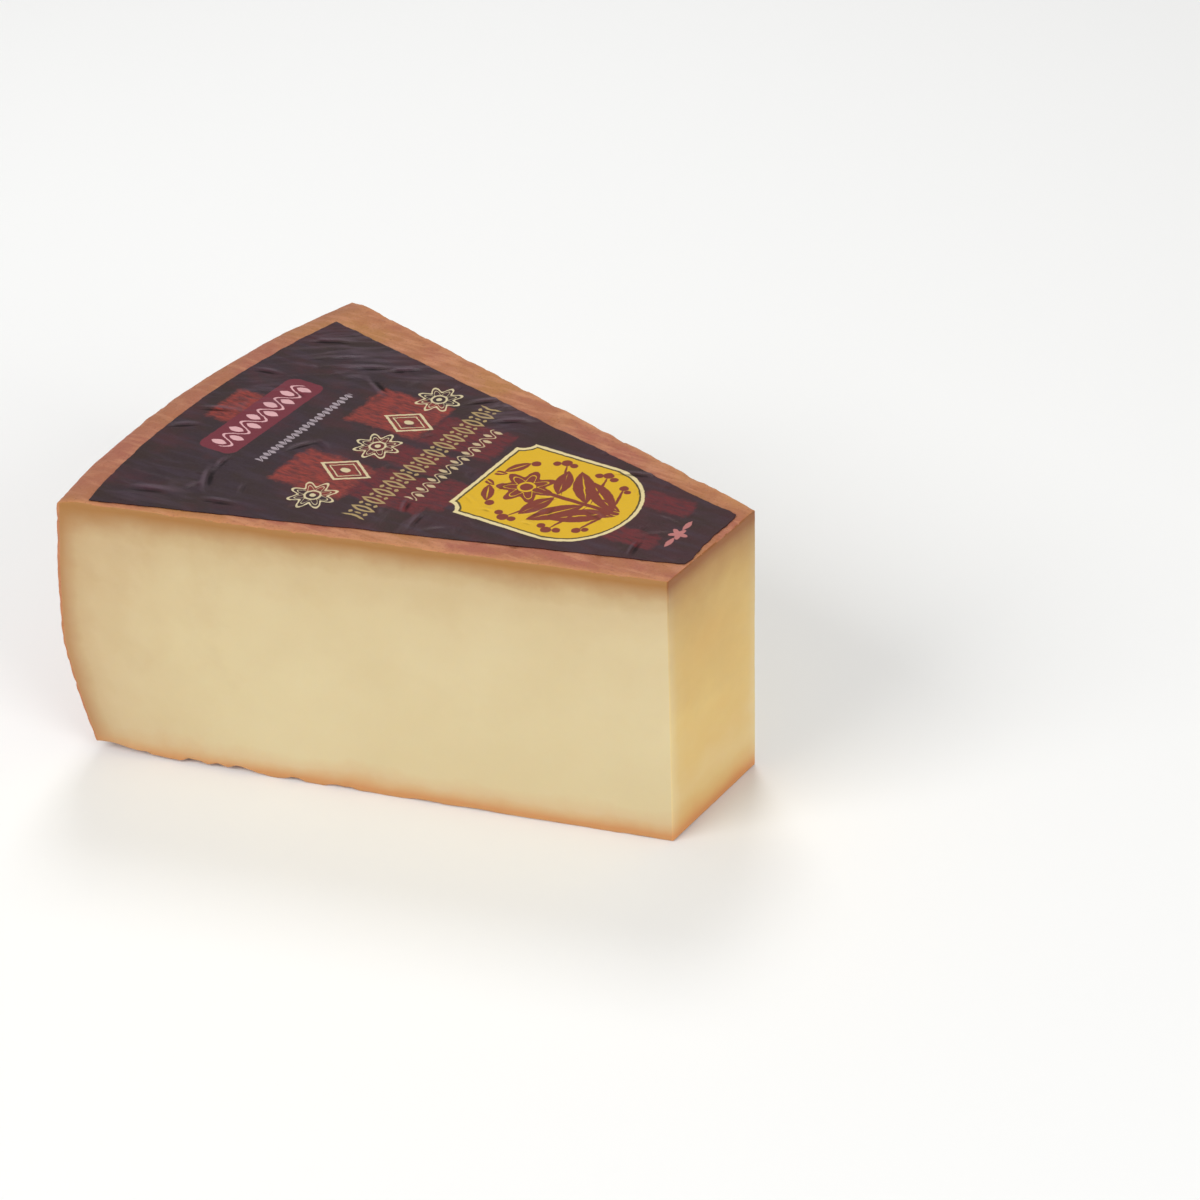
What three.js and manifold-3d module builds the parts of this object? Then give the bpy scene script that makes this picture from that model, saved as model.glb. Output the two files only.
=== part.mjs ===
// A wedge of hard pressed cheese. It was cut from a wheel by two cuts through the wheel's axis,
// and its thin end was then sliced off upright. The printed paper label that was glued to the
// top of the wheel was cut along with it.
// Millimetres, +Z up, standing on z = 0. The heel (the piece of the wheel's rim) faces -X and
// the sliced end faces +X. The origin is the middle of the base's bounding rectangle.

import * as THREE from 'three';
import { mergeVertices } from 'three/addons/utils/BufferGeometryUtils.js';
import Module from 'manifold-3d';

// Wheel of cheese
const WHEEL_HEIGHT = 100;
const WHEEL_EDGE_RADIUS = 295.6; // at the corner between the rim and either flat side
const RIM_BULGE = 6.4; // how far the rim's belly stands past that corner
const RIM_ROUNDNESS = 0.72; // of the belly: 1 is fully round, 0.5 is a ridge between two straights
const BELLY_HEIGHT = 44; // of the widest level of the rim
const TOP_EDGE_DROP = 1.4; // how far the top falls away at its corner
const TOP_EDGE_BAND = 9; // width of the band that falls away
const BASE_EDGE_RISE = 3.4; // how far the base curls up at its corner
const BASE_EDGE_BAND = 58; // width of the band that curls up
const WHEEL_SIDES = 360;
const CURVE_STEPS = 12; // straight steps in each curve of the wheel's section

// Cuts
const WEDGE_ANGLE = 31.2; // degrees between the two long cuts
const END_DISTANCE = 87.8; // from the wheel's axis to the sliced end, along the wedge's middle
const END_SKEW = 3.1; // degrees by which the end's slice is out of square
const CUT_MARGIN = 20; // how far the cutting block reaches past the wheel

// Label
const LABEL_THICKNESS = 0.7; // the paper with its glue and wrinkles
const LABEL_RIM_MARGIN = 1.8; // flat rind between the label and the band that falls away
// Bare rind beside the label's two long edges: from the long cut at the heel, from the long cut
// at the sliced end, and from the sliced end itself.
const LABEL_FRONT = { side: -1, heelMargin: 1.8, endMargin: 10.4, endSetback: 0.8 };
const LABEL_BACK = { side: 1, heelMargin: 15.4, endMargin: 7.1, endSetback: 3.2 };
const ARC_STEPS = 48;

const wasm = await Module();
wasm.setup();

const radians = THREE.MathUtils.degToRad;
const halfAngle = radians(WEDGE_ANGLE / 2);

// Closed manifold solid of a closed geometry, keeping its positions only.
function solidOf(geometry) {
  const bare = geometry.clone();
  bare.deleteAttribute('normal');
  bare.deleteAttribute('uv');
  const merged = mergeVertices(bare);
  return new wasm.Manifold(new wasm.Mesh({
    numProp: 3,
    vertProperties: merged.attributes.position.array,
    triVerts: Uint32Array.from(merged.index.array),
  }));
}

function geometryOf(solid) {
  const { vertProperties, triVerts } = solid.getMesh();
  const geometry = new THREE.BufferGeometry();
  geometry.setAttribute('position', new THREE.BufferAttribute(vertProperties, 3));
  geometry.setIndex(new THREE.BufferAttribute(triVerts, 1));
  geometry.computeVertexNormals();
  return geometry;
}

// Point of the plan view at a distance along a long cut from the wheel's axis, moved into the
// wedge by a margin. Side is -1 for the -Y cut and +1 for the +Y cut.
function besideCut(side, along, margin) {
  return new THREE.Vector2(
    -along * Math.cos(halfAngle) - margin * Math.sin(halfAngle),
    side * (along * Math.sin(halfAngle) - margin * Math.cos(halfAngle)),
  );
}

// Distance along a long cut at which the line of the sliced end, moved back by a setback,
// meets a line that runs beside that cut at a margin.
function alongCutAtEnd(side, setback, margin) {
  const skew = side * radians(END_SKEW);
  const across = halfAngle - skew;
  return ((END_DISTANCE * Math.cos(skew) + setback) - margin * Math.sin(across)) / Math.cos(across);
}

// The whole wheel: flat top and base, a bulging rim, and both corners of its section eased.
function wheelGeometry() {
  const bellyRadius = WHEEL_EDGE_RADIUS + RIM_BULGE;
  const flankRadius = WHEEL_EDGE_RADIUS + RIM_ROUNDNESS * RIM_BULGE;
  const baseCorner = BASE_EDGE_RISE;
  const topCorner = WHEEL_HEIGHT - TOP_EDGE_DROP;
  const section = new THREE.Path();
  section.moveTo(0, 0);
  section.lineTo(WHEEL_EDGE_RADIUS - BASE_EDGE_BAND, 0);
  section.quadraticCurveTo(WHEEL_EDGE_RADIUS - BASE_EDGE_BAND / 2, 0, WHEEL_EDGE_RADIUS, baseCorner);
  section.quadraticCurveTo(flankRadius, (baseCorner + BELLY_HEIGHT) / 2, bellyRadius, BELLY_HEIGHT);
  section.quadraticCurveTo(flankRadius, (BELLY_HEIGHT + topCorner) / 2, WHEEL_EDGE_RADIUS, topCorner);
  section.quadraticCurveTo(
    WHEEL_EDGE_RADIUS - TOP_EDGE_BAND / 2, WHEEL_HEIGHT,
    WHEEL_EDGE_RADIUS - TOP_EDGE_BAND, WHEEL_HEIGHT,
  );
  section.lineTo(0, WHEEL_HEIGHT);
  const wheel = new THREE.LatheGeometry(section.getPoints(CURVE_STEPS), WHEEL_SIDES);
  return wheel.rotateX(Math.PI / 2);
}

// Upright block with the wedge's plan: two long cuts and the sliced end. It reaches past the rim.
function cuttingBlockGeometry() {
  const reach = (WHEEL_EDGE_RADIUS + RIM_BULGE + CUT_MARGIN) / Math.cos(halfAngle);
  const plan = new THREE.Shape([
    besideCut(-1, alongCutAtEnd(-1, 0, 0), 0),
    besideCut(1, alongCutAtEnd(1, 0, 0), 0),
    besideCut(1, reach, 0),
    besideCut(-1, reach, 0),
  ]);
  const depth = WHEEL_HEIGHT + 2 * CUT_MARGIN;
  const block = new THREE.ExtrudeGeometry(plan, { depth, bevelEnabled: false });
  return block.translate(0, 0, -CUT_MARGIN);
}

// Paste and rind, grown as one piece.
function cheeseWedge() {
  const wedge = solidOf(wheelGeometry()).intersect(solidOf(cuttingBlockGeometry()));
  const material = new THREE.MeshStandardMaterial({ color: '#dccaa0', roughness: 0.5, metalness: 0 });
  const mesh = new THREE.Mesh(geometryOf(wedge), material);
  mesh.name = 'cheese_wedge';
  return mesh;
}

// The two ends of a long edge of the label, which starts on the label's arc at the heel.
function labelEdge({ side, heelMargin, endMargin, endSetback }, radius) {
  const heel = besideCut(side, Math.sqrt(radius ** 2 - heelMargin ** 2), heelMargin);
  const end = besideCut(side, alongCutAtEnd(side, endSetback, endMargin), endMargin);
  return { heel, end };
}

// Sheet with the plan of the glued label: an arc beside the rim, and straight edges elsewhere.
function labelSheet() {
  const radius = WHEEL_EDGE_RADIUS - TOP_EDGE_BAND - LABEL_RIM_MARGIN;
  const front = labelEdge(LABEL_FRONT, radius);
  const back = labelEdge(LABEL_BACK, radius);
  const plan = new THREE.Shape([front.end, back.end, back.heel]);
  plan.absarc(0, 0, radius, back.heel.angle(), front.heel.angle(), false);
  plan.closePath();
  const sheet = new THREE.ExtrudeGeometry(plan, {
    depth: LABEL_THICKNESS,
    bevelEnabled: false,
    curveSegments: ARC_STEPS,
  });
  const material = new THREE.MeshStandardMaterial({ color: '#473a3c', roughness: 0.6, metalness: 0 });
  const mesh = new THREE.Mesh(sheet, material);
  mesh.name = 'label';
  mesh.position.z = WHEEL_HEIGHT;
  return mesh;
}

const wedge = new THREE.Group();
wedge.name = 'wedge';
const cheese = cheeseWedge();
wedge.add(cheese, labelSheet());

// The wheel's axis is moved so that the origin comes to the middle of the wedge's length.
const bounds = new THREE.Box3().setFromObject(cheese);
wedge.position.x = -(bounds.min.x + bounds.max.x) / 2;

export default wedge;
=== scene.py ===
"""A cut wedge of hard pressed cheese with its glued paper label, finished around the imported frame.

All sizes below are in millimetres and are turned to metres by MM. The wheel's axis stands
upright past the sliced end of the wedge, so places are given as a radius from that axis, a
turn round it and a height.
"""
import math

import bpy
import numpy as np
from mathutils import Matrix, Vector, noise


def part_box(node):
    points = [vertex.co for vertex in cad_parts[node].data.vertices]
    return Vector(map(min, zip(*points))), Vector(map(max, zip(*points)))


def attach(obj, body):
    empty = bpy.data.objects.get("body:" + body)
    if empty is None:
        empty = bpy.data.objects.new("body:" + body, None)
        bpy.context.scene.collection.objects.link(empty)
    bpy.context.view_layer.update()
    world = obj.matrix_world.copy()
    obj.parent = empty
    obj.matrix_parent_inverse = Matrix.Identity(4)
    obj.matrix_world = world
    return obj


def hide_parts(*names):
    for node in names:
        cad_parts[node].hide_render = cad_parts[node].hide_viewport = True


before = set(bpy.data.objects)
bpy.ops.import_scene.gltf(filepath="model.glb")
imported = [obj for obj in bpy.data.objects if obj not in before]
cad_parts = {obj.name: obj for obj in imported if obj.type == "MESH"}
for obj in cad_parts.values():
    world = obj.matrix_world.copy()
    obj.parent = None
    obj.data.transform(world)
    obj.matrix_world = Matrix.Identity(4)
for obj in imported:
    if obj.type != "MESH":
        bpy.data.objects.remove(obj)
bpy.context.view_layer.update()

MM = 0.001

# The wheel and its cuts, worked out from the frame
HALF_TURN = math.radians(31.2 / 2)  # half the angle between the two long cuts
END_SKEW = math.radians(3.1)  # how far the sliced end is turned from square
LOW, HIGH = (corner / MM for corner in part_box("cheese_wedge"))
HEIGHT = HIGH.z
BELLY_RADIUS = HIGH.y / math.sin(HALF_TURN)
AXIS_X = LOW.x + BELLY_RADIUS
BACK_END_RADIUS = (AXIS_X - HIGH.x) / math.cos(HALF_TURN)
END_DISTANCE = BACK_END_RADIUS * math.cos(HALF_TURN - END_SKEW) / math.cos(END_SKEW)

# The rim's section
RIM_BULGE = 6.4
RIM_ROUNDNESS = 0.72  # of the belly: 1 is fully round, 0.5 is a ridge between two straights
EDGE_RADIUS = BELLY_RADIUS - RIM_BULGE
BELLY_HEIGHT = 44
TOP_EDGE_DROP, TOP_EDGE_BAND = 1.4, 9
BASE_EDGE_RISE, BASE_EDGE_BAND = 3.4, 58

# Surface net of the cheese: cells along the radius, up the height and round the turn
LONG_CELLS, TALL_CELLS, TURN_CELLS = 160, 76, 104
SMOOTH_ANGLE = math.radians(50)
KNIFE_EDGE = 0.55  # width of the worn arris along the cuts

# Relief of the cheese: how large the marks are, then how deep
RIND_LUMPS = (14, 0.16)
RIND_GRAIN = (3.2, 0.1)
RIND_PITS = (5.5, 0.9)
RIM_HOOPS = (6.5, 0.08)  # left by the hoop's cloth
WIRE_WANDER = (32, 0.1)
WIRE_DRAG = (2.4, 0.05)
BASE_TEARS = (13, 2.8)
TOP_CHIPS = (6, 0.6)

# How far the browning under the rind reaches into the paste: depth, then strength
TOP_BROWNING = ((0, 0.95), (2.2, 1), (4, 0.86), (6, 0.7), (9, 0.47), (14, 0.26), (28, 0.1), (60, 0))
BASE_BROWNING = ((0, 0.95), (2, 0.98), (3, 0.8), (5, 0.5), (7, 0.25), (12, 0))
RIM_BROWNING = ((0, 0.9), (1.8, 0.96), (4, 0.74), (8, 0.44), (14, 0.28), (30, 0.13), (60, 0))
# On the sliced end the paste darkens from the top, deeper and further in than on the long cuts
END_TOP_DARKENING = (
    (0, 1), (2.5, 0.98), (5, 0.78), (8, 0.6), (14, 0.42), (22, 0.27), (34, 0.15), (60, 0),
)

# How far the pale band low on the sliced end and the painted highlight along the edges of its cuts
# reach, told the same way
PALE_FOOT = ((0, 0), (8, 0.15), (16, 0.35), (28, 0.1), (45, 0))
PAINTED_ARRIS_HIGHLIGHT = ((0, 0.6), (1.5, 0.4), (4, 0.1), (8, 0))

# Sizes of the colour marks. The real grain of curd, rind and paper is 0.1 to 0.3 mm, too fine to
# show, so the three grains and the rind's specks are drawn coarser, at about 1 mm.
CURD_CLOUDS, BROWNING_WAVES, CURD_GRAIN = 38, 16, 0.9
RIND_PATCHES, RIND_BLOTCHES, RIND_SPECKS, RIND_FINE_GRAIN = 34, 7, 0.9, 1.1
RUB_LENGTH, RUB_WIDTH = 12, 2.6
GROUND_CLOUDS, BRICK_BLEED = 16, 5
HAZE_LENGTH, HAZE_WIDTH = 26, 18
BRUSH_LENGTH, BRUSH_WIDTH = 18, 3.2
BRISTLE_LENGTH, BRISTLE_WIDTH = 5, 1.3
PRINT_WAVER = 2
RUBS_PER_MM, FIBRES_PER_MM = 1.4, 1.1

# The label
LABEL_LOW, LABEL_HIGH = (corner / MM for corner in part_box("label"))
LABEL_RADIUS = EDGE_RADIUS - TOP_EDGE_BAND - 1.8
LABEL_CELLS_LONG, LABEL_CELLS_WIDE = 330, 230
LABEL_EDGES = (  # side, then bare rind at the heel, at the sliced end, and before the end itself
    (-1, 1.8, 10.4, 0.8),
    (1, 15.4, 7.1, 3.2),
)
PAPER = 0.22  # thickness with its glue
RAGGED_EDGE, RAGGED_END = 0.3, 0.5  # how far the cut wanders, and how much more at the sliced end
GATHER_PITCH = 4.5  # from one fine gather to the next
CREASES = (  # place from the wheel's axis, angle, half length, half width, rise
    ((-271, 49), 25, 6, 0.9, 0.45),
    ((-256, 58), 5, 4, 0.9, 0.45),
    ((-262, 40), 30, 9, 1.0, 0.32),
    ((-247, 40), 25, 8, 1.0, 0.36),
    ((-236, 44), 35, 5, 0.9, 0.4),
    ((-237, 30), 150, 6, 1.0, 0.42),
    ((-277, 21), 10, 5, 0.9, 0.4),
    ((-275, -8), 20, 6, 0.9, 0.42),
    ((-279, -22), 35, 5, 0.9, 0.36),
    ((-250, -45.5), 120, 6, 1.1, 0.45),
    ((-252, -36), 100, 4, 0.9, 0.32),
    ((-236, -14), 60, 5, 0.9, 0.34),
    ((-262, -60), 20, 8, 1.1, 0.3),
    ((-238, -55), 15, 6, 1.0, 0.36),
    ((-199, 40), 40, 6, 1.0, 0.45),
    ((-184, 33), 30, 6, 0.9, 0.42),
    ((-184, -28), 110, 4, 0.9, 0.36),
    ((-176, -33), 95, 4, 0.9, 0.34),
    ((-130, 24), 20, 6, 0.9, 0.3),
    ((-108, -14), 100, 4, 0.9, 0.34),
)
GATHERS = (  # place from the wheel's axis, half spread, angle, rise
    ((-262, 45), 24, 33, 0.3),
    ((-228, 50), 14, 25, 0.3),
    ((-268, 5), 16, 30, 0.22),
    ((-262, -58), 22, 8, 0.18),
    ((-190, 36), 12, 40, 0.3),
    ((-180, -35), 14, 95, 0.18),
)
SMALL_CREASES = 70

# The label's print: centre and half sizes along x (from the wheel's axis) and y
INK_SPREAD = 0.12
BOLD_LINE, HAIR_LINE = 0.95, 0.4
BANNER = (-259.5, -4.5, 7.5, 26)
BRICKS = (
    (-271, -3.5, 6, 10),
    (-219.5, 19, 14.5, 11.5),
    (-219, -25, 14, 11),
)
FAINT_BRICKS = (
    (-190, 16, 14, 9),
    (-191, -22, 14, 10),
    (-176.5, -17, 5, 9),
    (-112, 13, 9, 4.5),
    (-112, -9, 9, 4),
    (-202, -3, 16, 6),
)
BIG_ROW_X, BIG_ROW_Y, BIG_ROW_PITCH, BIG_ROW_MIDDLE = -213.5, 33, 17.6, -2.2
SMALL_VINE = (-242, -3.5, 25)
BRAID = (-194.5, -2.5, 5.6, 39)
BRAID_PITCH = 5.6
FINE_VINE = (-184.5, 0.5, 24.5)
TIP_BUD = (-100, -0.5)
BADGE = (-145, 0, 28, 24)
BADGE_ROUND = 21  # how far the round end reaches
BADGE_BITE = 4.5  # radius of the bites at the square corners
SPRIG_LEAVES = (  # place from the badge's centre (x towards the tip), angle, length, width
    ((12.5, 6.6), 142, 21, 7.4),
    ((4.8, 8.6), 126, 20, 7.2),
    ((-2.6, 8), 108, 15, 6),
    ((17.5, 3.2), 160, 11, 3.4),
    ((-20.5, 8.8), 62, 10, 4.2),
    ((-24, 3), 20, 6, 2.6),
)
SPRIG_TWIGS = (  # place, angle, length of the stalks that carry the berries
    ((9.9, 9.8), 103, 19),
    ((-3.6, 10), 117, 20),
    ((18.1, 7.7), 106, 14),
)
SPRIG_BERRIES = (  # place and radius
    ((7.8, 18.6), 1.8),
    ((10.7, 17.2), 1.4),
    ((5.2, 17.2), 1.4),
    ((-8.2, 18.8), 1.9),
    ((-5.2, 18.4), 1.4),
    ((-10.8, 17), 1.4),
    ((16.2, 14.2), 1.5),
    ((18.4, 12.6), 1.2),
    ((-16.6, 13.6), 1.6),
)

rng = np.random.default_rng(7)


def linear(hex_colour, alpha=1.0):
    """An sRGB hex colour as the linear numbers that sockets hold."""
    values = [int(hex_colour[i : i + 2], 16) / 255 for i in (1, 3, 5)]
    return [v / 12.92 if v <= 0.04045 else ((v + 0.055) / 1.055) ** 2.4 for v in values] + [alpha]


def fill_inputs(tree, node, inputs):
    """Fills a node's inputs, each with a value, a socket to link, or a node to link by its output."""
    for name, value in inputs.items():
        if isinstance(value, bpy.types.Node):
            value = next(s for s in value.outputs if s.enabled)
        if isinstance(value, bpy.types.NodeSocket):
            tree.links.new(value, node.inputs[name])
        else:
            node.inputs[name].default_value = value


def add_node(tree, kind, inputs=None, **settings):
    """Adds one node with its settings and links."""
    made = tree.nodes.new("ShaderNode" + kind)
    for name, value in settings.items():
        setattr(made, name, value)
    fill_inputs(tree, made, inputs or {})
    return made


def start_finish(name):
    """A new material, its node tree and its main shader."""
    material = bpy.data.materials.new(name)
    material.use_nodes = True
    return material, material.node_tree, material.node_tree.nodes["Principled BSDF"]


# ---------------------------------------------------------------- camera, light, floor

def set_camera():
    """Long lens, a third of a right angle up, looking along the front cut towards the heel."""
    azimuth, elevation, roll = math.radians(33.302), math.radians(33.594), math.radians(-2.173)
    target = Vector((AXIS_X - 143.053, 19.611, 50)) * MM
    distance = 894.87 * MM
    back = Vector((
        math.sin(azimuth) * math.cos(elevation),
        -math.cos(azimuth) * math.cos(elevation),
        math.sin(elevation),
    ))
    right = Vector((math.cos(azimuth), math.sin(azimuth), 0))
    up = back.cross(right)
    turned_right = right * math.cos(roll) + up * math.sin(roll)
    turned_up = up * math.cos(roll) - right * math.sin(roll)
    data = bpy.data.cameras.new("camera")
    data.lens, data.sensor_width = 81, 36
    data.clip_start, data.clip_end = 0.01, 50
    camera = bpy.data.objects.new("camera", data)
    bpy.context.collection.objects.link(camera)
    axes = Matrix((turned_right, turned_up, back)).transposed().to_4x4()
    camera.matrix_world = Matrix.Translation(target + back * distance) @ axes
    bpy.context.scene.camera = camera


def add_softbox(name, place, size, power):
    """A square white softbox turned to the middle of the cheese."""
    data = bpy.data.lights.new(name, "AREA")
    data.shape, data.size, data.energy = "SQUARE", size, power
    box = bpy.data.objects.new(name, data)
    bpy.context.collection.objects.link(box)
    box.location = place
    box.rotation_euler = (-Vector(place) + Vector((0, 0, 0.05))).to_track_quat("-Z", "Y").to_euler()


def set_light():
    """Pale room, lightest at the horizon, a broad key at the front left, a fill and a box behind."""
    world = bpy.data.worlds.new("studio")
    bpy.context.scene.world = world
    world.use_nodes = True
    tree = world.node_tree
    direction = add_node(tree, "TexCoord").outputs["Generated"]
    upward = add_node(tree, "SeparateXYZ", {0: direction}).outputs["Z"]
    glow = add_node(tree, "MapRange", {
        "Value": upward, "From Min": 0.02, "From Max": 0.4, "To Min": 0.85, "To Max": 0.38})
    fill_inputs(tree, tree.nodes["Background"], {"Color": linear("#fdfdff"), "Strength": glow})
    add_softbox("key", (-0.7, -1.6, 1.5), 1.2, 26)
    add_softbox("fill", (1.7, -0.5, 0.9), 1.0, 13)
    add_softbox("back", (-0.46, 0.71, 1.44), 0.5, 7.5)
    bpy.context.scene.view_settings.view_transform = "Standard"


def lay_floor():
    """A plain pale sheet of studio paper, wider than the view."""
    bpy.ops.object.select_all(action="DESELECT")
    bpy.ops.mesh.primitive_plane_add(size=12)
    floor = bpy.context.object
    floor.name = "floor"
    material, tree, shader = start_finish("matt studio paper")
    fill_inputs(tree, shader, {"Base Color": linear("#f6f6f4"), "Roughness": 0.9})
    floor.data.materials.append(material)


# ---------------------------------------------------------------- shapes

def read_points(mesh, kind="co"):
    flat = np.zeros(len(mesh.vertices) * 3)
    mesh.vertices.foreach_get(kind, flat)
    return flat.reshape(-1, 3)


def write_points(mesh, points):
    mesh.vertices.foreach_set("co", points.ravel())
    mesh.update()


def roughness_field(points, grain, octaves=3, seed=0.0):
    """Fractal noise from about -1 to 1 at the points, its largest lumps one grain across (mm)."""
    shift = Vector((seed * 17.3, seed * 5.1, seed * 9.7))
    return np.array([
        noise.fractal(Vector(p) / grain + shift, 0.9, 2.0, octaves, noise_basis="PERLIN_ORIGINAL")
        for p in points
    ])


def ramp(values, start, end):
    """0 at start, 1 at end, smooth between."""
    t = np.clip((values - start) / (end - start), 0, 1)
    return t * t * (3 - 2 * t)


def wheel_place(points):
    """Radius from the wheel's axis, and turn round it from the wedge's middle plane towards +Y."""
    arm = points[:, :2] - (AXIS_X, 0)
    return np.hypot(arm[:, 0], arm[:, 1]), np.arctan2(arm[:, 1], -arm[:, 0])


def rim_radius(height):
    """Radius of the bulging rim at a height."""
    low, high = BASE_EDGE_RISE, HEIGHT - TOP_EDGE_DROP
    reach = np.where(height > BELLY_HEIGHT, high - BELLY_HEIGHT, BELLY_HEIGHT - low)
    off_belly = np.clip(np.abs(height - BELLY_HEIGHT) / reach, 0, 1)
    return EDGE_RADIUS + RIM_BULGE * (1 - off_belly) * (1 + (2 * RIM_ROUNDNESS - 1) * off_belly)


def top_height(radius):
    past = np.clip((radius - EDGE_RADIUS + TOP_EDGE_BAND) / TOP_EDGE_BAND, 0, 1)
    return HEIGHT - TOP_EDGE_DROP * past**2


def base_height(radius):
    past = np.clip((radius - EDGE_RADIUS + BASE_EDGE_BAND) / BASE_EDGE_BAND, 0, 1)
    return BASE_EDGE_RISE * past**2


def end_radius(turn):
    return END_DISTANCE * math.cos(END_SKEW) / np.cos(turn - END_SKEW)


def spin_block():
    """A plain arc-shaped block: one cut face's net, stood up and spun round the wheel's axis."""
    bpy.ops.object.select_all(action="DESELECT")
    middle = (END_DISTANCE + EDGE_RADIUS) / 2
    bpy.ops.mesh.primitive_grid_add(
        x_subdivisions=LONG_CELLS, y_subdivisions=TALL_CELLS, size=1,
        location=(
            (AXIS_X - middle * math.cos(HALF_TURN)) * MM,
            -middle * math.sin(HALF_TURN) * MM,
            HEIGHT / 2 * MM,
        ),
        rotation=(math.pi / 2, 0, HALF_TURN),
    )
    block = bpy.context.object
    block.scale = ((EDGE_RADIUS - END_DISTANCE) * MM, HEIGHT * MM, 1)
    bpy.ops.object.transform_apply(location=True, rotation=True, scale=True)
    bpy.ops.object.mode_set(mode="EDIT")
    bpy.ops.mesh.select_all(action="SELECT")
    bpy.ops.mesh.spin(
        steps=TURN_CELLS, angle=2 * HALF_TURN, center=(AXIS_X * MM, 0, 0), axis=(0, 0, 1),
    )
    bpy.ops.mesh.select_all(action="SELECT")
    bpy.ops.mesh.remove_doubles(threshold=0.01 * MM)
    bpy.ops.mesh.normals_make_consistent(inside=False)
    bpy.ops.object.mode_set(mode="OBJECT")
    return block


def draw_to_outline(block):
    """Moves the block's net out to the bulging rim, the eased corners and the skewed end."""
    points = read_points(block.data) / MM
    radius, turn = wheel_place(points)
    along = (radius - END_DISTANCE) / (EDGE_RADIUS - END_DISTANCE)
    level = points[:, 2] / HEIGHT
    low, high = BASE_EDGE_RISE, HEIGHT - TOP_EDGE_DROP
    rim = rim_radius(low + level * (high - low))
    start = end_radius(turn)
    new_radius = start + along * (rim - start)
    slump = base_height(new_radius) * (1 - level)
    height = slump + level * top_height(new_radius)
    write_points(block.data, np.stack([
        AXIS_X - new_radius * np.cos(turn), new_radius * np.sin(turn), height,
    ], -1) * MM)


def wear_arris(cheese):
    """Rounds the sharp edges that the wire left."""
    worn = cheese.modifiers.new("arris", "BEVEL")
    worn.width, worn.segments = KNIFE_EDGE * MM, 2
    worn.limit_method, worn.angle_limit = "ANGLE", math.radians(35)
    bpy.ops.object.modifier_apply(modifier=worn.name)


def rough_out_cheese(cheese):
    """Rind: lumps, grain and pits. Cut faces: the slow wander and fine drag of the cutting wire."""
    mesh = cheese.data
    points = read_points(mesh) / MM
    normals = read_points(mesh, "normal")
    radius, turn = wheel_place(points)
    heel = ramp(rim_radius(points[:, 2]) - radius, 1.6, 0.4)
    rind = np.maximum(ramp(np.abs(normals[:, 2]), 0.25, 0.75), heel)

    size, depth = RIND_LUMPS
    lumps = roughness_field(points, size, 4, 1)
    rind_depth = depth + depth * lumps
    size, depth = RIND_GRAIN
    rind_depth += depth * roughness_field(points, size, 2, 2)
    size, depth = RIND_PITS
    rind_depth += depth * np.clip(roughness_field(points, size, 2, 3) - 0.38, 0, 1)
    pitch, depth = RIM_HOOPS
    hoops = depth + depth * np.sin(points[:, 2] * 2 * math.pi / pitch + 2.5 * lumps)
    rind_depth += heel * (hoops + 0.1 * lumps)

    size, depth = WIRE_WANDER
    cut_depth = depth + depth * roughness_field(points, size, 2, 4)
    size, depth = WIRE_DRAG
    cut_depth += depth * roughness_field(points * (0.22, 0.22, 1), size, 2, 5)
    inward = np.clip(rind * rind_depth + (1 - rind) * cut_depth, 0, 2)
    moved = points - normals * inward[:, None]

    # The base's cut edges are ragged, most at the heel, where the rind tore as the wire came through
    from_cut = radius * np.sin(np.clip(HALF_TURN - np.abs(turn), 0, None))
    near_base = ramp(points[:, 2], 9, 0.5) * ramp(from_cut, 9, 0.5) * ramp(radius, 120, 250)
    size, depth = BASE_TEARS
    moved[:, 2] += near_base * depth * np.clip(roughness_field(points, size, 3, 6) + 0.1, 0, 1)

    # The top edge of the cuts is chipped
    near_top = ramp(points[:, 2], HEIGHT - 2.6, HEIGHT - 0.4) * ramp(from_cut, 2.2, 0.3)
    size, depth = TOP_CHIPS
    moved[:, 2] -= near_top * depth * np.clip(roughness_field(points, size, 3, 7) + 0.1, 0, 1)
    moved[:, 2] = np.clip(moved[:, 2], 0, HEIGHT)
    write_points(mesh, moved * MM)


def assign_faces(cheese):
    """Gives each face its finish: 0 rind, 1 paste of the long cuts, 2 the sliced end."""
    for face in cheese.data.polygons:
        x, y, z = face.center / MM
        radius = math.hypot(x - AXIS_X, y)
        past_end = radius - end_radius(math.atan2(y, AXIS_X - x))
        lies_flat = abs(face.normal.z) >= 0.6
        on_rim = rim_radius(z) - radius <= 1.0
        if lies_flat or on_rim:
            face.material_index = 0
        elif past_end < 0.75:
            face.material_index = 2
        else:
            face.material_index = 1


def make_cheese():
    cheese = spin_block()
    cheese.name = "cheese"
    draw_to_outline(cheese)
    wear_arris(cheese)
    rough_out_cheese(cheese)
    for finish in (rind_finish(), paste_finish(), end_finish()):
        cheese.data.materials.append(finish)
    assign_faces(cheese)
    bpy.ops.object.select_all(action="DESELECT")
    cheese.select_set(True)
    bpy.context.view_layer.objects.active = cheese
    bpy.ops.object.shade_smooth_by_angle(angle=SMOOTH_ANGLE)
    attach(cheese, "root")
    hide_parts("cheese_wedge")


# ---------------------------------------------------------------- cheese finishes

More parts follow.
